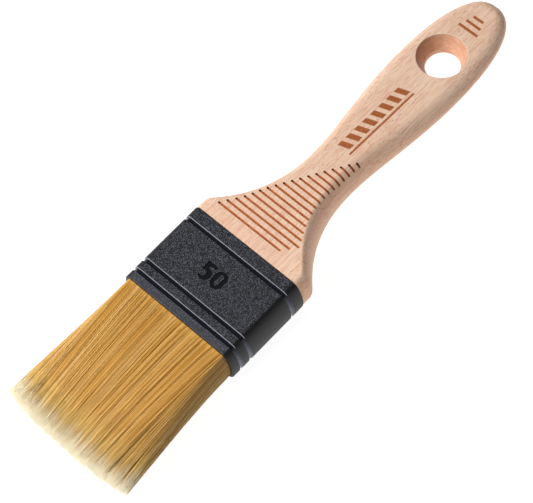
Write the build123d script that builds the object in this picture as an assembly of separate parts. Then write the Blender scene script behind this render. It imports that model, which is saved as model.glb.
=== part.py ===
from build123d import *
from math import sqrt
import os

# A flat paint brush lying on its back, in millimetres.
# +X is across the brush, +Y runs from the filament tips to the tail of the handle, +Z leaves the front face.
# The origin is under the middle of the whole brush, on the plane of the ferrule's back face.

# Lengths along the brush
FREE_LENGTH = 57.0            # filaments outside the ferrule
FERRULE_LENGTH = 37.0
HANDLE_LENGTH = 137.5         # the part of the handle that shows
TOTAL_LENGTH = FREE_LENGTH + FERRULE_LENGTH + HANDLE_LENGTH
TIP = -TOTAL_LENGTH / 2
MOUTH = TIP + FREE_LENGTH     # where the filaments leave the ferrule
SHOULDER = MOUTH + FERRULE_LENGTH
TAIL = TOTAL_LENGTH / 2

# Ferrule: flat front and back, half-elliptical sides
FLAT_HALF = 22.9
SIDE_BULGE = 4.1
HALF_THICKNESS = 9.7
WALL = 1.3
MIDDLE = HALF_THICKNESS       # height of the mid-plane of the whole brush
BAND_WIDTH = 1.7
BAND_DEPTH = 0.5
BAND_SLOPE = 0.4              # run of the sloped wall on the handle side
BAND_STARTS = (3.4, 8.3, 30.3)  # from the mouth
MOUTH_ROUND = 0.5
END_ROUND = 0.5
DIGIT_DEPTH = 0.35
DIGIT_HEIGHT = 7.5
DIGIT_STROKE = 1.85           # upright strokes
DIGIT_BAR = 1.4               # level strokes
DIGIT_MIDDLE = 20.15          # from the mouth

# Handle: stations are (distance from the ferrule, value, slope)
HALF_WIDTHS = (
    (4.0, 26.75, -0.1), (6.6, 25.15, -1.0), (17, 16.8, -0.6), (43, 9.9, 0), (70, 12.85, 0.14), (98, 15.2, 0))
HALF_DEPTHS = ((4.0, 9.6, 0), (20, 9.6, 0), (43, 8.8, -0.05), (78, 6.65, -0.055), (137.5, 4.2, -0.03))
ROUNDINGS = ((4.0, 4.1, 0), (43, 4.4, 0.01), (98, 5.4, 0), (137.5, 5.4, 0))
SECTIONS = (
    4, 4.8, 5.7, 6.6, 8, 10, 13, 17, 23, 30, 37, 43, 52, 62, 72, 82, 92, 102, 112, 120, 126, 130.5, 133.5,
    135.5, 136.7, 137.4)
CLOSING_START = 98.0          # where the outline starts to close
TAIL_POWER = 2.4
TAIL_ROUND = 4.2
TENON_LENGTH = 14.0
GLUE = 0.25
HOLE_DISTANCE = 106.4
HOLE_RADIUS = 6.9
BORE_TOP = -1.6               # the straight stretch, above the mid-plane
BORE_BOTTOM = -3.9
COUNTERSINK_RADIUS = 9.85     # where the front flare meets the face
COUNTERSINK_TOP = 5.3         # height of the face above the mid-plane there
REAR_FLARE = 0.8              # growth of the radius per millimetre

# Grip lines burnt across the front of the waist
LINE_COUNT = 18
LINE_START = 6.1
LINE_PITCH = 2.635
LINE_WIDTH = 0.85
LINE_DEPTH = 0.4
LINES_END = 62               # beyond the last line, at one of the sections
LINE_NARROWING = 0.12         # how fast the bare margins beside the lines shrink towards the waist

# Filament pack, cut in three rows by two spacer strips
ROOT_DEPTH = 17.0             # how far the filaments reach into the ferrule
ROW_EDGE = 2.6                # half thickness of the middle row in the ferrule
ROW_EDGE_AT_TIP = 1.3
SPACER_THICKNESS = 1.4
SPACER_WIDTH = 40.0
SPACER_INSET = 5.0            # the strips stop short of the mouth
PACK_SECTIONS = ((0, 22.9, 2.8, 8.4), (3, 22.5, 3.5, 8.45), (26, 20.5, 7.6, 7.5), (57, 19.0, 10.4, 4.2))
BEND_DISTANCE = 9.6           # bending axis, outside the mouth
BEND_RADIUS = 9.2             # rounded root end of the bending stretch
BEND_GAP = 0.3


def section_plane(y):
    """XZ plane at y, seen from the filament tips."""
    return Plane(origin=(0, y, MIDDLE), x_dir=(1, 0, 0), z_dir=(0, -1, 0))


def oval(y, flat_half, bulge, half_height):
    """Flat top and bottom joined by half-elliptical sides."""
    top = Line((-flat_half, half_height), (flat_half, half_height))
    right = EllipticalCenterArc((flat_half, 0), bulge, half_height, 90, arc_size=-180)
    bottom = Line((flat_half, -half_height), (-flat_half, -half_height))
    left = EllipticalCenterArc((-flat_half, 0), bulge, half_height, 270, arc_size=-180)
    return section_plane(y) * make_face(top + right + bottom + left)


def prism(y_start, y_end, flat_half, bulge, half_height):
    """The oval section carried straight from y_start to y_end."""
    return extrude(oval(y_end, flat_half, bulge, half_height), y_end - y_start)


def cavity(y_start, y_end, clearance=0.0):
    """A solid that fills the inside of the ferrule, less the clearance."""
    return prism(y_start, y_end, FLAT_HALF, SIDE_BULGE - WALL - clearance, HALF_THICKNESS - WALL - clearance)


def between(stations, distance):
    """Cubic curve through (distance, value, slope) stations."""
    if distance <= stations[0][0]:
        return stations[0][1]
    for (a, value_a, slope_a), (b, value_b, slope_b) in zip(stations, stations[1:]):
        if distance <= b:
            span = b - a
            t = (distance - a) / span
            start = value_a * (2 * t**3 - 3 * t**2 + 1) + span * slope_a * (t**3 - 2 * t**2 + t)
            return start + value_b * (3 * t**2 - 2 * t**3) + span * slope_b * (t**3 - t**2)
    return stations[-1][1]


def handle_half_width(distance):
    closing = max(0, distance - CLOSING_START) / (HANDLE_LENGTH - CLOSING_START)
    return between(HALF_WIDTHS, distance) * (1 - closing**TAIL_POWER) ** (1 / TAIL_POWER)


def handle_half_depth(distance):
    closing = max(0, distance - HANDLE_LENGTH + TAIL_ROUND) / TAIL_ROUND
    return between(HALF_DEPTHS, distance) * sqrt(1 - closing**2)


def handle_section(distance, inset=0.0):
    """Cross-section of the handle, or of its heart when the whole surface is set in."""
    half_width = handle_half_width(distance)
    bulge = min(between(ROUNDINGS, distance), 0.8 * half_width)
    half_depth = handle_half_depth(distance)
    return oval(SHOULDER + distance, half_width - bulge, bulge - inset, half_depth - inset)


def grip_line_ends(distance):
    """Left and right ends of the grip line at a distance from the ferrule."""
    edge = handle_half_width(distance)
    left_margin = 3.6 + LINE_NARROWING * max(0, 20 - distance)
    right_margin = 1.35 + LINE_NARROWING * max(0, 40 - distance)
    left = max(left_margin - edge, 0.607 * (distance - 39))
    right = min(edge - right_margin, 11.3 + 0.82 * (distance - LINE_START))
    return left, right


def grip_lines():
    """Round-ended cutters of even depth, one for each burnt line."""
    heart = loft([handle_section(distance, LINE_DEPTH) for distance in SECTIONS if distance <= LINES_END])
    cutters = []
    for number in range(LINE_COUNT):
        distance = LINE_START + number * LINE_PITCH
        left, right = grip_line_ends(distance)
        plane = Plane(((left + right) / 2, SHOULDER + distance, MIDDLE))
        cutters.append(extrude(plane * SlotOverall(right - left, LINE_WIDTH), 2 * HALF_THICKNESS) - heart)
    return cutters


def hanging_hole():
    """Cutter with a deep front flare, a short straight bore and a small rear flare."""
    front_flare = (COUNTERSINK_RADIUS - HOLE_RADIUS) / (COUNTERSINK_TOP - BORE_TOP)
    reach = COUNTERSINK_TOP + 3
    front_radius = HOLE_RADIUS + front_flare * (reach - BORE_TOP)
    rear_radius = HOLE_RADIUS + REAR_FLARE * (reach + BORE_BOTTOM)
    profile = Plane.XZ * make_face(Polyline(
        (0, -reach), (rear_radius, -reach), (HOLE_RADIUS, BORE_BOTTOM), (HOLE_RADIUS, BORE_TOP),
        (front_radius, reach), (0, reach), close=True))
    return Pos(0, SHOULDER + HOLE_DISTANCE, MIDDLE) * revolve(profile, Axis.Z)


def handle():
    grip = loft([handle_section(distance) for distance in SECTIONS])
    flat_half = handle_half_width(0) - SIDE_BULGE
    shoulder = prism(SHOULDER, SHOULDER + SECTIONS[0], flat_half, SIDE_BULGE, handle_half_depth(0))
    tenon = cavity(SHOULDER - TENON_LENGTH, SHOULDER, GLUE)
    return tenon + shoulder + grip - hanging_hole() - grip_lines()


def digits():
    """The size number in plain bold strokes, centred on the origin."""
    half = DIGIT_HEIGHT / 2
    bowl_radius = 2.5
    counter_radius = bowl_radius - DIGIT_BAR
    bowl_middle = bowl_radius - half
    bowl = Ellipse(bowl_radius + 0.1, bowl_radius) - Pos(-0.75, 0) * Circle(counter_radius)
    bowl -= Pos(-0.75 - bowl_radius, 0) * Rectangle(2 * bowl_radius, 2 * counter_radius)
    five = Pos(0, bowl_middle) * bowl
    five += Pos(-2.35 + DIGIT_STROKE / 2, half - 1.95) * Rectangle(DIGIT_STROKE, 3.9)
    five += Pos(-0.05, half - DIGIT_BAR / 2) * Rectangle(4.6, DIGIT_BAR)
    zero = SlotOverall(DIGIT_HEIGHT, 5.5, rotation=90)
    zero -= SlotOverall(DIGIT_HEIGHT - 2 * DIGIT_BAR, 5.5 - 2 * DIGIT_STROKE, rotation=90)
    return Pos(-3.35, 0) * five + Pos(2.4, 0) * zero


def band_cutter(y):
    """Groove all round the ferrule: a steep wall at y, a flat floor and a sloped wall towards the handle."""
    floor_bulge = SIDE_BULGE - BAND_DEPTH
    floor_half = HALF_THICKNESS - BAND_DEPTH
    slope_start = y + BAND_WIDTH - BAND_SLOPE
    core = prism(y, slope_start, FLAT_HALF, floor_bulge, floor_half)
    core += loft([
        oval(slope_start, FLAT_HALF, floor_bulge, floor_half),
        oval(y + BAND_WIDTH, FLAT_HALF, SIDE_BULGE, HALF_THICKNESS)])
    return prism(y, y + BAND_WIDTH, FLAT_HALF, SIDE_BULGE + 1, HALF_THICKNESS + 1) - core


def ferrule():
    outside = prism(MOUTH, SHOULDER, FLAT_HALF, SIDE_BULGE, HALF_THICKNESS)
    outside = fillet(outside.faces().sort_by(Axis.Y)[0].edges(), MOUTH_ROUND)
    outside = fillet(outside.faces().sort_by(Axis.Y)[-1].edges(), END_ROUND)
    sleeve = outside - cavity(MOUTH, SHOULDER)
    for start in BAND_STARTS:
        sleeve -= band_cutter(MOUTH + start)
    face = Plane((0, MOUTH + DIGIT_MIDDLE, 2 * HALF_THICKNESS - DIGIT_DEPTH))
    return sleeve - extrude(face * digits(), 2 * DIGIT_DEPTH)


def glue_film():
    """Adhesive between the tenon and the inside of the ferrule."""
    start = SHOULDER - TENON_LENGTH
    return cavity(start, SHOULDER) - cavity(start, SHOULDER, GLUE)


def setting_block():
    """Cured epoxy poured over the roots of the filaments."""
    return cavity(MOUTH + ROOT_DEPTH, SHOULDER - TENON_LENGTH)


def spacer(side):
    """Wooden strip between two rows; side is +1 towards the front and -1 towards the back."""
    length = ROOT_DEPTH - SPACER_INSET
    y = MOUTH + SPACER_INSET + length / 2
    return Pos(0, y, MIDDLE + side * ROW_EDGE) * Box(SPACER_WIDTH, length, SPACER_THICKNESS)


def pack():
    """All the filaments together: held in the ferrule, then spreading to a thin wide tip."""
    spread = loft([oval(MOUTH - distance, *sizes) for distance, *sizes in PACK_SECTIONS])
    return cavity(MOUTH, MOUTH + ROOT_DEPTH) + spread - spacer(1) - spacer(-1)


def row_space(low, high, low_at_tip, high_at_tip):
    """Everything between two heights above the mid-plane, which change outside the ferrule."""
    root = MOUTH + ROOT_DEPTH
    outline = Polyline(
        (root, MIDDLE + low), (MOUTH, MIDDLE + low), (TIP, MIDDLE + low_at_tip),
        (TIP, MIDDLE + high_at_tip), (MOUTH, MIDDLE + high), (root, MIDDLE + high), close=True)
    return extrude(Plane.YZ * make_face(outline), 40, both=True)


def bend_cylinder(radius):
    return Pos(0, MOUTH - BEND_DISTANCE, MIDDLE) * Cylinder(radius, 80, rotation=(0, 90, 0))


def filament_rows():
    """Each row as its held root stretch and its bending free stretch."""
    far = 2 * HALF_THICKNESS
    rows = {
        "front": row_space(ROW_EDGE, far, ROW_EDGE_AT_TIP, far),
        "middle": row_space(-ROW_EDGE, ROW_EDGE, -ROW_EDGE_AT_TIP, ROW_EDGE_AT_TIP),
        "rear": row_space(-far, -ROW_EDGE, -far, -ROW_EDGE_AT_TIP),
    }
    outer_length = FREE_LENGTH - BEND_DISTANCE
    outer = Pos(0, TIP + outer_length / 2, MIDDLE) * Box(80, outer_length, 4 * HALF_THICKNESS)
    everything = pack()
    held = everything - outer - bend_cylinder(BEND_RADIUS + BEND_GAP)
    bending = everything & (outer + bend_cylinder(BEND_RADIUS))
    parts = {}
    for name, space in rows.items():
        parts["roots_" + name] = held & space
        parts["filaments_" + name] = bending & space
    return parts


def main():
    nodes = {
        "handle": handle(),
        "ferrule": ferrule(),
        "glue_film": glue_film(),
        "setting_block": setting_block(),
        "spacer_front": spacer(1),
        "spacer_rear": spacer(-1),
        **filament_rows(),
    }
    os.makedirs("parts", exist_ok=True)
    for name, shape in nodes.items():
        export_step(shape, f"parts/{name}.step")


main()
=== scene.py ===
"""Flat paint brush: camera, studio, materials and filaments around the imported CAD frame."""
import math

import bpy
import numpy as np
from mathutils import Matrix, Vector


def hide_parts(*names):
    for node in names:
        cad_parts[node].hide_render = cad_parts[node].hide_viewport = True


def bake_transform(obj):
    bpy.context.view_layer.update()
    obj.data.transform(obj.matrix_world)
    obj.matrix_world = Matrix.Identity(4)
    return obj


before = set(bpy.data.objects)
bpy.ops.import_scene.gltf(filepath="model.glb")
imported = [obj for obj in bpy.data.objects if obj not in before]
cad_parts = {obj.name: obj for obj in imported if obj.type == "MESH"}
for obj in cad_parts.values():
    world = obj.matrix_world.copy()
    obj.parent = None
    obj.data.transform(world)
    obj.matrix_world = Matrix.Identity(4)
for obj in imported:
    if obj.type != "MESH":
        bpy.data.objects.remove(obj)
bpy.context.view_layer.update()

MM = 0.001

# Camera
IMAGE_WIDTH = 533
FOCAL_PIXELS = 2268.3
SENSOR_MM = 36.0
AZIMUTH, ELEVATION, ROLL = 55.16, 62.57, -13.43
DISTANCE = 0.814
TARGET = (0.00757, -0.0191, 0.0194)

# Studio
KEY_PLACE = (-0.45, -0.6, 0.9)
KEY_SIZE = 0.8
KEY_POWER = 19.0
HORIZON = 1.2
OVERHEAD = 1.0
FLOOR_GLOW = 0.95
FLOOR_GREY = 0.4
FLOOR_RADIUS = 6.0

# Places on the brush, in millimetres in the frame
MOUTH = -58.75
SHOULDER = -21.75
MIDDLE = 9.7
FRONT = 19.4
FLAT_HALF = 22.9
BAND_STARTS = (3.4, 8.3, 30.3)
BAND_WIDTH = 1.7
LINE_START = 6.1
LINE_PITCH = 2.635
LINE_COUNT = 18
LINE_WIDTH = 0.85
HOLE_Y = 84.65
HOLE_RIM = 9.85
MARK_START = 25.8
MARK_PITCH = 4.4
MARK_MIDDLE = 47.6
MARK_HALF = 4 * MARK_PITCH     # eight whole dashes
MARK_SLANT = 0.35
TAIL_MARK = 99.5
TAIL_MARK_PITCH = 3.0
SOFT_EDGE = 0.12              # how far a painted edge takes to fade

# Filament pack: sizes at the ferrule, and how they change over the free length
FREE_LENGTH = 57.0
MOUTH_BULGE, BULGE_GROWTH = 2.6, 8.5
MOUTH_HEIGHT, HEIGHT_LOSS = 8.45, 4.25
WIDTH_LOSS = 3.9
TIP_LEAN = 0.8
SIDE_SHARE = 0.14             # share of the way round the front half that each rounded side takes
ROW_EDGE = 0.31               # edge of the middle row, as a share of the pack's half height
FILAMENT_RADIUS = 0.13
SEGMENTS = np.array([-1.5, 0.2, 3, 7, 12, 18, 24, 30, 36, 42, 47, 51, 54, 57.0])
LONGEST = FREE_LENGTH + 3.4
CLUMPS = 110
FRONT_COUNT, REAR_COUNT, CORNER_COUNT, TIP_COUNT = 1500, 1150, 70, 1100
SEED = 50


# ---------------------------------------------------------------- camera and studio

def make_camera():
    az, el, roll = (math.radians(a) for a in (AZIMUTH, ELEVATION, ROLL))
    back = Vector((math.sin(az) * math.cos(el), -math.cos(az) * math.cos(el), math.sin(el)))
    level = Vector((math.cos(az), math.sin(az), 0))
    rise = back.cross(level)
    right = level * math.cos(roll) + rise * math.sin(roll)
    up = back.cross(right)
    data = bpy.data.cameras.new("camera")
    data.sensor_width = SENSOR_MM
    data.lens = FOCAL_PIXELS * SENSOR_MM / IMAGE_WIDTH
    data.clip_start = 0.05
    data.clip_end = 50
    camera = bpy.data.objects.new("camera", data)
    turn = Matrix((right, up, back)).transposed().to_4x4()
    camera.matrix_world = Matrix.Translation(Vector(TARGET) + back * DISTANCE) @ turn
    bpy.context.scene.collection.objects.link(camera)
    bpy.context.scene.camera = camera


def area_light(name, place, size, power):
    data = bpy.data.lights.new(name, "AREA")
    data.size = size
    data.energy = power
    light = bpy.data.objects.new(name, data)
    light.location = place
    light.rotation_mode = "QUATERNION"
    light.rotation_quaternion = Vector(place).to_track_quat("Z", "Y")
    bpy.context.scene.collection.objects.link(light)


def make_world():
    """White round the horizon, softer overhead."""
    world = bpy.data.worlds.new("studio")
    bpy.context.scene.world = world
    world.use_nodes = True
    tree = world.node_tree
    split = tree.nodes.new("ShaderNodeSeparateXYZ")
    tree.links.new(tree.nodes.new("ShaderNodeTexCoord").outputs["Generated"], split.inputs[0])
    level = tree.nodes.new("ShaderNodeMapRange")
    tree.links.new(split.outputs["Z"], level.inputs["Value"])
    level.inputs["From Min"].default_value = 0.12
    level.inputs["From Max"].default_value = 0.3
    level.inputs["To Min"].default_value = HORIZON
    level.inputs["To Max"].default_value = OVERHEAD
    tree.links.new(level.outputs["Result"], tree.nodes["Background"].inputs["Strength"])


def make_studio():
    make_world()
    area_light("key", KEY_PLACE, KEY_SIZE, KEY_POWER)
    bpy.ops.mesh.primitive_circle_add(
        vertices=96, radius=FLOOR_RADIUS, fill_type="NGON", location=(0, 0, -0.0002))
    floor = bpy.context.object
    floor.name = "floor"
    material = bpy.data.materials.new("floor_white")
    material.use_nodes = True
    shader = material.node_tree.nodes["Principled BSDF"]
    shader.inputs["Base Color"].default_value = (FLOOR_GREY, FLOOR_GREY, FLOOR_GREY, 1)
    shader.inputs["Roughness"].default_value = 1
    shader.inputs["Specular IOR Level"].default_value = 0
    shader.inputs["Emission Color"].default_value = (1, 1, 1, 1)
    shader.inputs["Emission Strength"].default_value = FLOOR_GLOW
    floor.data.materials.append(material)
    bpy.context.scene.view_settings.view_transform = "Standard"


# ---------------------------------------------------------------- material helpers

class Shader:
    """A material with short calls for the nodes it needs. Coordinates are in millimetres in the frame."""

    def __init__(self, name, roughness=0.5, specular=0.5):
        self.material = bpy.data.materials.new(name)
        self.material.use_nodes = True
        self.tree = self.material.node_tree
        self.out = self.tree.nodes["Principled BSDF"]
        self.out.inputs["Roughness"].default_value = roughness
        self.out.inputs["Specular IOR Level"].default_value = specular
        coords = self.node("ShaderNodeTexCoord").outputs["Object"]
        scaled = self.node("ShaderNodeVectorMath", operation="SCALE")
        self.tree.links.new(coords, scaled.inputs[0])
        scaled.inputs["Scale"].default_value = 1 / MM
        self.place = scaled.outputs[0]
        split = self.node("ShaderNodeSeparateXYZ")
        self.tree.links.new(self.place, split.inputs[0])
        self.x, self.y, self.z = split.outputs

    def node(self, kind, **settings):
        made = self.tree.nodes.new(kind)
        for key, value in settings.items():
            setattr(made, key, value)
        return made

    def plug(self, socket, value):
        if isinstance(value, bpy.types.NodeSocket):
            self.tree.links.new(value, socket)
        else:
            socket.default_value = value

    def math(self, operation, *values, clamp=False):
        made = self.node("ShaderNodeMath", operation=operation, use_clamp=clamp)
        for socket, value in zip(made.inputs, values):
            self.plug(socket, value)
        return made.outputs[0]

    def step(self, value, low, high):
        """0 below low, 1 above high, smooth between; low may be above high."""
        made = self.node("ShaderNodeMapRange", interpolation_type="SMOOTHSTEP")
        self.plug(made.inputs["Value"], value)
        rising = low < high
        made.inputs["From Min"].default_value = min(low, high)
        made.inputs["From Max"].default_value = max(low, high)
        made.inputs["To Min"].default_value = 0 if rising else 1
        made.inputs["To Max"].default_value = 1 if rising else 0
        return made.outputs["Result"]

    def stretch(self, sizes, offset=(0, 0, 0)):
        """The place divided by a feature size in millimetres along each axis."""
        made = self.node("ShaderNodeMapping")
        self.plug(made.inputs["Vector"], self.place)
        made.inputs["Scale"].default_value = [1 / size for size in sizes]
        made.inputs["Location"].default_value = offset
        return made.outputs[0]

    def noise(self, sizes, detail=2.0, roughness=0.5, offset=(0, 0, 0)):
        made = self.node("ShaderNodeTexNoise")
        self.plug(made.inputs["Vector"], self.stretch(sizes, offset))
        made.inputs["Scale"].default_value = 1
        made.inputs["Detail"].default_value = detail
        made.inputs["Roughness"].default_value = roughness
        return made.outputs["Fac"]

    def mix(self, factor, a, b, blend="MIX"):
        made = self.node("ShaderNodeMix", data_type="RGBA", blend_type=blend)
        self.plug(made.inputs["Factor"], factor)
        self.plug(made.inputs[6], a if isinstance(a, bpy.types.NodeSocket) else (*a, 1))
        self.plug(made.inputs[7], b if isinstance(b, bpy.types.NodeSocket) else (*b, 1))
        return made.outputs[2]

    def ramp(self, value, stops):
        made = self.node("ShaderNodeValToRGB")
        self.plug(made.inputs[0], value)
        elements = made.color_ramp.elements
        while len(elements) < len(stops):
            elements.new(0.5)
        for element, (position, colour) in zip(elements, stops):
            element.position = position
            element.color = (*colour, 1)
        return made.outputs[0]

    def bump(self, height, depth_mm, strength=1.0):
        made = self.node("ShaderNodeBump")
        made.inputs["Strength"].default_value = strength
        made.inputs["Distance"].default_value = depth_mm * MM
        self.plug(made.inputs["Height"], height)
        self.plug(self.out.inputs["Normal"], made.outputs[0])

    def near(self, value, target, half, soft):
        """1 where value is within half of target, fading to 0 over soft."""
        off = self.math("ABSOLUTE", self.math("SUBTRACT", value, target))
        return self.step(off, half + soft, half)

    def finish(self, colour, roughness=None):
        self.plug(self.out.inputs["Base Color"], colour)
        if roughness is not None:
            self.plug(self.out.inputs["Roughness"], roughness)
        return self.material


def srgb(red, green, blue):
    """Linear colour from the 0 to 255 values seen on a screen."""
    return tuple(((c / 255 + 0.055) / 1.055) ** 2.4 for c in (red, green, blue))


# ---------------------------------------------------------------- materials

def block(s, middle_x, middle_y, half_x, half_y):
    """1 inside a rectangle of the frame's XY plane, in millimetres."""
    across = s.near(s.x, middle_x, half_x, SOFT_EDGE)
    return s.math("MULTIPLY", across, s.near(s.y, middle_y, half_y, SOFT_EDGE))


def burnt_marks(s):
    """Plain marks: a row of equal slanted dashes over a thin line, and three small bars near the tail."""
    slanted = s.math("SUBTRACT", s.y, s.math("MULTIPLY", s.x, MARK_SLANT))
    phase = s.math("PINGPONG", s.math("SUBTRACT", slanted, MARK_START), MARK_PITCH / 2)
    dash = s.step(phase, MARK_PITCH / 2 - 1.35, MARK_PITCH / 2 - 1.1)
    row = s.math("MULTIPLY", dash, block(s, -0.6, MARK_MIDDLE, 2.3, MARK_HALF))
    marks = s.math("MAXIMUM", row, block(s, 3.2, MARK_MIDDLE, 0.35, MARK_HALF))
    for number in range(3):
        bar = block(s, 0, TAIL_MARK + TAIL_MARK_PITCH * number, 4.5 - 1.1 * number, 0.5)
        marks = s.math("MAXIMUM", marks, bar)
    return s.math("MULTIPLY", marks, s.step(s.z, MIDDLE + 2, MIDDLE + 3))


def beech():
    """Pale pinkish wood, short darker flecks along the grain, painted shade on the sides, and a darker turned
    hole with painted shade on its wall and a painted highlight round its edge.
    """
    s = Shader("beech", roughness=0.5, specular=0.3)
    broad = s.noise((9, 60, 6), detail=3)
    streak = s.noise((0.55, 26, 0.55), detail=5, roughness=0.7)
    fine = s.noise((0.3, 5, 0.3), detail=2, offset=(3, 1, 7))
    colour = s.ramp(broad, [(0.3, srgb(248, 218, 192)), (0.7, srgb(240, 202, 174))])
    colour = s.mix(s.math("MULTIPLY", s.step(streak, 0.45, 0.68), 0.75), colour, srgb(222, 166, 138))
    colour = s.mix(s.math("MULTIPLY", s.step(fine, 0.45, 0.7), 0.5), colour, srgb(216, 158, 130))
    flecks = s.noise((0.34, 1.8, 0.34), detail=1, offset=(11, 5, 2))
    patches = s.noise((9, 16, 9), detail=1, offset=(1, 8, 4))
    fleck_mask = s.math("MULTIPLY", s.step(flecks, 0.6, 0.7), s.step(patches, 0.3, 0.6))
    colour = s.mix(s.math("MULTIPLY", fleck_mask, 0.65), colour, srgb(190, 122, 90))
    char = s.noise((0.5, 0.5, 0.5), detail=3, offset=(7, 7, 7))
    burn = s.ramp(char, [(0.35, srgb(150, 80, 42)), (0.65, srgb(190, 112, 66))])
    colour = s.mix(burnt_marks(s), colour, burn)
    # painted shade: faces that turn away from the front are darkened and warmed, standing for the shade on
    # the handle's sides
    normal = s.node("ShaderNodeSeparateXYZ")
    s.plug(normal.inputs[0], s.node("ShaderNodeTexCoord").outputs["Normal"])
    side = s.step(normal.outputs["Z"], 0.8, 0.2)
    colour = s.mix(side, colour, (0.95, 0.82, 0.73), "MULTIPLY")
    # hole wall: darker end grain with faint turned rings, its darkness partly painted shade of the hole, and
    # a painted highlight round its edge
    out_x = s.math("POWER", s.x, 2)
    out_y = s.math("POWER", s.math("SUBTRACT", s.y, HOLE_Y), 2)
    radius = s.math("SQRT", s.math("ADD", out_x, out_y))
    in_hole = s.step(radius, HOLE_RIM, HOLE_RIM - 0.2)
    around = s.noise((2.2, 2.2, 1.2), detail=3, offset=(2, 2, 9))
    turned = s.math("SINE", s.math("MULTIPLY", radius, 11))
    cuts = s.math("ADD", s.math("MULTIPLY", around, 0.7), s.math("MULTIPLY", turned, 0.02))
    wall = s.ramp(cuts, [(0.2, srgb(208, 152, 118)), (0.5, srgb(222, 178, 148))])
    colour = s.mix(in_hole, colour, wall)
    # painted highlight: a light ring round the hole's edge, where the rounded edge would catch the light
    rim_highlight = s.near(radius, HOLE_RIM, 0.12, 0.15)
    colour = s.mix(s.math("MULTIPLY", rim_highlight, 0.6), colour, srgb(252, 230, 210))
    height = s.math("SUBTRACT", s.math("MULTIPLY", streak, 0.5), s.math("MULTIPLY", flecks, 0.5))
    height = s.math("ADD", height, s.math("MULTIPLY", s.math("MULTIPLY", turned, in_hole), 0.15))
    s.bump(height, 0.06, 0.5)
    return s.finish(colour, s.math("ADD", s.math("MULTIPLY", fine, 0.15), 0.42))


def burnt(line_starts):
    """Floor and walls of the grip lines, with painted shadow darkening the left ends, whose X places are
    given line by line.
    """
    span = 60                 # the curve holds places from -span / 2 to span / 2
    s = Shader("burnt_wood", roughness=0.7, specular=0.2)
    char = s.noise((0.8, 0.8, 0.8), detail=3)
    colour = s.ramp(char, [(0.3, srgb(158, 84, 44)), (0.7, srgb(196, 112, 62))])
    last = LINE_COUNT - 1
    share = s.math("DIVIDE", s.math("SUBTRACT", s.y, SHOULDER + LINE_START), LINE_PITCH * last)
    curve = s.node("ShaderNodeFloatCurve")
    s.plug(curve.inputs["Value"], share)
    points = curve.mapping.curves[0].points
    while len(points) < LINE_COUNT:
        points.new(0.5, 0.5)
    for number, start in enumerate(line_starts):
        points[number].location = (number / last, start / span + 0.5)
        points[number].handle_type = "VECTOR"
    curve.mapping.update()
    start = s.math("MULTIPLY", s.math("SUBTRACT", curve.outputs[0], 0.5), span)
    # painted shadow: each line is darkened towards its left end, standing for the shade its end wall casts
    painted_shade = s.step(s.math("SUBTRACT", s.x, start), 1.4, 0.5)
    return s.finish(s.mix(s.math("MULTIPLY", painted_shade, 0.85), colour, srgb(64, 32, 20)))


def black_plastic():
    """Charcoal moulding: coarse grain on the flats, fine grain on the sides, smooth bands and digits; painted
    highlights on the lip and band edges and a painted sheen on the bands at the sides.
    """
    s = Shader("black_plastic", specular=0.3)
    along = s.math("SUBTRACT", s.y, MOUTH)
    off_middle = s.math("ABSOLUTE", s.math("SUBTRACT", s.z, MIDDLE))
    flat = s.step(off_middle, FRONT - MIDDLE - 0.25, FRONT - MIDDLE - 0.1)
    across = s.step(s.math("ABSOLUTE", s.x), FLAT_HALF + 1.0, FLAT_HALF + 0.4)
    face = s.math("MULTIPLY", flat, across)
    side = s.step(s.math("ABSOLUTE", s.x), FLAT_HALF - 0.2, FLAT_HALF + 0.4)
    in_band = 0.0
    edges = 0.0
    for start in BAND_STARTS:
        floor = s.near(along, start + BAND_WIDTH / 2, BAND_WIDTH / 2, 0.03)
        in_band = s.math("MAXIMUM", in_band, floor)
        # painted highlight: a thin light line along the handle-side edge of each band
        edge = s.near(along, start + BAND_WIDTH - 0.1, 0.06, 0.08)
        edges = s.math("MAXIMUM", edges, edge)
    textured = s.math("MULTIPLY", s.math("MAXIMUM", face, side), s.math("SUBTRACT", 1.0, in_band))
    speck = s.noise((0.3, 0.3, 0.3), detail=0, offset=(5, 2, 9))
    grain = s.noise((0.33, 0.33, 0.33), detail=1)
    # the lip below the first band is painted lighter: a coarser grain, and partly a painted highlight on its
    # rounded edge
    lip = s.step(along, 3.5, 3.2)
    rough = s.ramp(speck, [(0.34, srgb(10, 10, 12)), (0.52, srgb(30, 30, 34)), (0.74, srgb(98, 101, 112))])
    rough = s.mix(s.math("MULTIPLY", lip, 0.25), rough, srgb(96, 98, 108))
    side_rough = s.mix(s.step(speck, 0.45, 0.7), srgb(18, 18, 19), srgb(32, 32, 35))
    colour = s.mix(face, s.mix(side, srgb(24, 24, 27), side_rough), rough)
    colour = s.mix(in_band, colour, srgb(22, 25, 33))
    sheen = s.math("MULTIPLY", s.math("MULTIPLY", in_band, side), s.step(off_middle, 9.5, 0))
    colour = s.mix(s.math("MULTIPLY", sheen, 0.8), colour, srgb(84, 94, 116))
    # painted highlight on the band edges, kept to the front face
    band_edge_highlight = s.math("MULTIPLY", edges, s.step(off_middle, FRONT - MIDDLE - 1.5, FRONT - MIDDLE - 0.6))
    colour = s.mix(s.math("MULTIPLY", band_edge_highlight, 0.65), colour, srgb(190, 190, 196))
    weight = s.math("SUBTRACT", textured, s.math("MULTIPLY", side, 0.6))
    s.bump(s.math("MULTIPLY", grain, weight), 0.3, 1.0)
    roughness = s.math("ADD", s.math("MULTIPLY", textured, 0.32), 0.2)
    return s.finish(colour, roughness)


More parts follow.
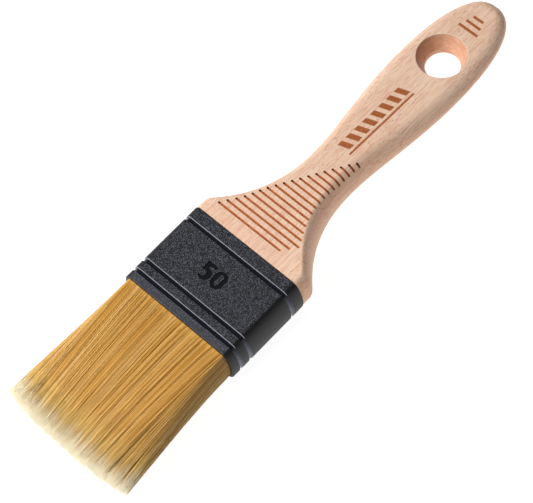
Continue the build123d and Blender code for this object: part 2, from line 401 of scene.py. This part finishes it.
def filament_material():
    """Golden filaments with pale tips that carry a faint painted glow. tone is the filament's shade of
    colour, lifted at the pack's rounded sides as painted light; to_tip runs down to 0 at its tip.
    """
    s = Shader("filament", roughness=0.4, specular=0.35)
    tone = s.node("ShaderNodeAttribute", attribute_name="tone").outputs["Fac"]
    to_tip = s.node("ShaderNodeAttribute", attribute_name="to_tip").outputs["Fac"]
    shifted = s.math("ADD", to_tip, s.math("MULTIPLY", s.math("SUBTRACT", 0.5, tone), 9.0))
    body = s.ramp(tone, [(0.0, srgb(154, 106, 40)), (0.5, srgb(202, 150, 66)), (1.0, srgb(238, 202, 136))])
    amber = s.mix(s.math("MULTIPLY", s.step(shifted, 18, 7), 0.75), body, srgb(234, 196, 112))
    pale = s.step(shifted, 8.5, 0.5)
    # painted glow: the pale tips get a faint emission, standing for light passing through the thin filaments
    s.plug(s.out.inputs["Emission Color"], s.mix(pale, (0, 0, 0), (1, 0.88, 0.66)))
    s.out.inputs["Emission Strength"].default_value = 0.06
    return s.finish(s.mix(pale, amber, srgb(252, 244, 216)))


def plain(name, colour, roughness):
    s = Shader(name, roughness)
    return s.finish(s.mix(s.noise((1, 1, 1)), colour, tuple(0.8 * c for c in colour)))


# ---------------------------------------------------------------- filaments

def half_width_flat(distance):
    return FLAT_HALF - WIDTH_LOSS * (distance / FREE_LENGTH) ** 0.8


def side_bulge(distance):
    return MOUTH_BULGE + BULGE_GROWTH * (distance / FREE_LENGTH) ** 0.98


def lean(distance):
    """How far the pack has drifted to the right of the middle."""
    return TIP_LEAN * (np.clip(distance, 0, None) / FREE_LENGTH) ** 2


def half_height(distance):
    return MOUTH_HEIGHT - HEIGHT_LOSS * (distance / FREE_LENGTH) ** 1.9


def surface_point(place, distance, depth):
    """Point under the pack's outline. place runs 0 to 1 round the front half, from left to right."""
    flat = half_width_flat(distance)
    bulge = side_bulge(distance)
    height = half_height(distance)
    left_turn = np.clip(place / SIDE_SHARE, 0, 1) * math.pi / 2
    right_turn = np.clip((1 - place) / SIDE_SHARE, 0, 1) * math.pi / 2
    across = np.clip((place - SIDE_SHARE) / (1 - 2 * SIDE_SHARE), 0, 1) * 2 - 1
    left = (bulge - depth) * np.cos(left_turn) * (place < SIDE_SHARE)
    right = (bulge - depth) * np.cos(right_turn) * (place > 1 - SIDE_SHARE)
    x = across * flat - left + right
    z = (height - depth) * np.minimum(np.sin(left_turn), np.sin(right_turn))
    return x, z


class FilamentMesh:
    """Collects three-sided tapered prisms and makes one mesh of them."""

    def __init__(self):
        self.points = []
        self.faces = []
        self.tones = []
        self.to_tips = []

    def add(self, path, radii, tone):
        first = len(self.points)
        count = len(path)
        tip = path[-1][1]
        for point, radius in zip(path, radii):
            for corner in range(3):
                angle = corner * 2 * math.pi / 3
                self.points.append((
                    point[0] + radius * math.cos(angle), point[1], point[2] + radius * math.sin(angle)))
                self.tones.append(tone)
                self.to_tips.append(point[1] - tip)
        for ring in range(count - 1):
            a = first + ring * 3
            for corner in range(3):
                following = (corner + 1) % 3
                self.faces.append((a + corner, a + following, a + 3 + following, a + 3 + corner))
        self.faces.append((first + 2, first + 1, first))
        last = first + (count - 1) * 3
        self.faces.append((last, last + 1, last + 2))


def make_piece(name, points, faces, attributes, materials, material_indices):
    mesh = bpy.data.meshes.new(name)
    mesh.from_pydata([Vector(p) * MM for p in points], [], faces)
    for material in materials:
        mesh.materials.append(material)
    mesh.polygons.foreach_set("material_index", material_indices)
    mesh.polygons.foreach_set("use_smooth", [True] * len(faces))
    for kind, values in attributes.items():
        mesh.attributes.new(kind, "FLOAT", "POINT").data.foreach_set("value", values)
    mesh.update()
    piece = bpy.data.objects.new(name, mesh)
    bpy.context.scene.collection.objects.link(piece)
    return piece


def reach(rng, across, clump_offset=0.0):
    """Length of a filament outside the ferrule: longest in the middle of the brush."""
    ragged = 0.75 * rng.normal() - 0.9 * rng.random() ** 3
    return LONGEST - abs(across) ** 3 - 2.2 * abs(across) ** 12 + ragged + clump_offset


def thickness(share):
    """Filament radius along its length: tapered over the last third."""
    return FILAMENT_RADIUS * np.clip(3.1 * (1.03 - share), 0.12, 1)


def filament(collect, rng, place, depth, clump, side):
    """One filament along the outside of the pack. side is +1 on the front half and -1 on the back half."""
    at_edge = max(0, abs(2 * place - 1) - 0.72) / 0.28
    length = reach(rng, 2 * place - 1, clump[1])
    distances = np.where(SEGMENTS > 0, SEGMENTS * length / FREE_LENGTH, SEGMENTS)
    share = np.clip(distances / length, 0, 1)
    pull = 0.18 * share ** 1.5 * (clump[0] - place)
    wander = 0.0018 * np.sin(distances * rng.uniform(0.05, 0.16) + rng.uniform(0, 6.3)) * share
    stray = rng.normal(0, 0.003) * share ** 2
    where = np.clip(place + pull + wander + stray, 0.0, 1.0)
    sink = depth + 0.05 * share * abs(clump[0] - place) / 0.01 * rng.uniform(0.6, 1.2)
    sink = np.where(distances < 2, np.maximum(sink, 0.15), sink)
    x, z = surface_point(where, np.clip(distances, 0, None), sink)
    path = np.stack([x + lean(distances), MOUTH - distances, MIDDLE + side * z], 1)
    # painted light: filaments at the pack's rounded sides get a lighter and more varied tone, lifting the
    # shade that falls there
    tone = rng.normal(0.5 + clump[2] + 0.3 * at_edge, 0.14 + 0.15 * at_edge)
    collect.add(path, thickness(share), float(np.clip(tone, 0, 1)))


def row_filaments(rng, low, high, side, count, collect, clumps):
    """count filaments whose places lie between low and high."""
    for place in np.sort(rng.uniform(low, high, count)):
        clump = clumps[np.argmin(np.abs(clumps[:, 0] - place))]
        filament(collect, rng, place, rng.uniform(0, 0.6) ** 1.3, clump, side)


def tip_filaments(rng, collect, low_height, high_height, count):
    """Inner filaments, of which only the last stretch is modelled."""
    for _ in range(count):
        across = rng.uniform(-1, 1)
        height = rng.uniform(low_height, high_height)
        start = rng.uniform(30, 38)
        length = reach(rng, across)
        distances = np.linspace(start, length, 6)
        round_side = side_bulge(distances) * math.sqrt(max(0, 1 - height ** 2))
        wide = half_width_flat(distances) + round_side - 0.4
        x = across * wide + lean(distances) + rng.normal(0, 0.15) * (distances - start) / 20
        z = height * (half_height(distances) - 0.4)
        collect.add(
            np.stack([x, MOUTH - distances, MIDDLE + z], 1), thickness(distances / length),
            float(rng.uniform(0.2, 0.8)))


def core(low_edge, high_edge):
    """Solid heart of a row. The edges are shares of the pack's half height, -1 to 1.
    The stations are (distance outside the ferrule, depth under the pack's outline)."""
    stations = [
        (-17, 0.1), (-1, 0.1), (0.5, 0.5), (4, 0.6), (12, 0.7), (20, 0.75), (28, 0.8), (36, 0.9), (42, 1.3),
        (46, 1.9)]
    points, faces = [], []
    steps = 40
    for distance, inset in stations:
        d = max(distance, 0)
        flat, bulge, height = half_width_flat(d), side_bulge(d) - inset, half_height(d) - inset
        ring = []
        for index in range(steps):
            share = index / (steps - 1)
            level = high_edge + (low_edge - high_edge) * share
            ring.append((flat + bulge * math.sqrt(max(0, 1 - level ** 2)), level * height))
        ring += [(-x, z) for x, z in reversed(ring)]
        points += [(x + lean(d), MOUTH - distance, MIDDLE + z) for x, z in ring]
    around = 2 * steps
    for station in range(len(stations) - 1):
        for index in range(around):
            a = station * around + index
            b = station * around + (index + 1) % around
            faces.append((a, b, b + around, a + around))
    faces.append(tuple(reversed(range(around))))
    faces.append(tuple(range((len(stations) - 1) * around, len(stations) * around)))
    return points, faces


def build_rows(material, painted_shade):
    rng = np.random.default_rng(SEED)
    side_share = math.asin(ROW_EDGE) / (math.pi / 2) * SIDE_SHARE
    rows = {
        "front": ([(side_share, 1 - side_share, 1, FRONT_COUNT)], (ROW_EDGE, 1.0)),
        "middle": ([
            (0, side_share, 1, CORNER_COUNT), (1 - side_share, 1, 1, CORNER_COUNT),
            (0, side_share, -1, CORNER_COUNT), (1 - side_share, 1, -1, CORNER_COUNT)], (-ROW_EDGE, ROW_EDGE)),
        "rear": ([(side_share, 1 - side_share, -1, REAR_COUNT)], (-1.0, -ROW_EDGE)),
    }
    for name, (stretches, (low, high)) in rows.items():
        collect = FilamentMesh()
        clumps = np.stack([
            np.sort(rng.uniform(0, 1, CLUMPS)), rng.normal(0, 0.35, CLUMPS), rng.normal(0, 0.07, CLUMPS)], 1)
        for start, end, side, count in stretches:
            row_filaments(rng, start, end, side, count, collect, clumps)
        tip_filaments(rng, collect, low, high, TIP_COUNT)
        heart, heart_faces = core(low, high)
        offset = len(collect.points)
        points = collect.points + heart
        faces = collect.faces + [tuple(i + offset for i in face) for face in heart_faces]
        attributes = {
            "tone": collect.tones + [0.3] * len(heart),
            "to_tip": collect.to_tips + [FREE_LENGTH] * len(heart)}
        # the heart's faces take the second material, darker as painted shade
        indices = [0] * len(collect.faces) + [1] * len(heart_faces)
        piece = make_piece("row_" + name, points, faces, attributes, [material, painted_shade], indices)
        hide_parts("roots_" + name, "filaments_" + name)
        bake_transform(piece)


# ---------------------------------------------------------------- putting it together

def paint(node, *materials):
    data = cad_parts[node].data
    data.materials.clear()
    for material in materials:
        data.materials.append(material)


def grip_lines(data):
    """Where the grip lines' left ends lie, and for each face of the handle whether it is in a line."""
    places = np.empty(len(data.vertices) * 3)
    data.vertices.foreach_get("co", places)
    x, y, z = places.reshape(-1, 3).T / MM
    normals = np.empty(len(data.polygons) * 3)
    data.polygons.foreach_get("normal", normals)
    corners = [list(polygon.vertices) for polygon in data.polygons]
    walls = [face for face, level in zip(corners, np.abs(normals[1::3]) > 0.9) if level]
    low_x, high_x, wall_y, wall_z = np.array([
        (x[face].min(), x[face].max(), y[face].mean(), z[face].min()) for face in walls]).T
    line_of = np.full(len(x), -1)
    starts = []
    for line in range(LINE_COUNT):
        middle = SHOULDER + LINE_START + line * LINE_PITCH
        mine = (np.abs(np.abs(wall_y - middle) - LINE_WIDTH / 2) < 0.02) & (wall_z > MIDDLE + 2)
        start = low_x[mine].min() - LINE_WIDTH / 2
        end = high_x[mine].max() + LINE_WIDTH / 2
        starts.append(start)
        inside = (np.abs(y - middle) < LINE_WIDTH / 2 + 0.02) & (x > start - 0.02) & (x < end + 0.02)
        line_of[inside & (z > MIDDLE + 2)] = line
    lines = [set(line_of[face]) for face in corners]
    return starts, [len(found) == 1 and -1 not in found for found in lines]


make_camera()
make_studio()
golden = filament_material()
# painted shade: the solid heart of each row is coloured darker than the filaments, standing for the shade
# deep inside the pack
painted_shade = plain("filament_core_painted_shade", srgb(186, 128, 48), 0.6)
build_rows(golden, painted_shade)
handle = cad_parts["handle"].data
line_starts, line_faces = grip_lines(handle)
paint("handle", beech(), burnt(line_starts))
handle.polygons.foreach_set("material_index", line_faces)
paint("ferrule", black_plastic())
resin = plain("resin", (0.3, 0.16, 0.04), 0.3)
spacer = plain("spacer_wood", (0.45, 0.30, 0.17), 0.7)
paint("glue_film", resin)
paint("setting_block", resin)
paint("spacer_front", spacer)
paint("spacer_rear", spacer)
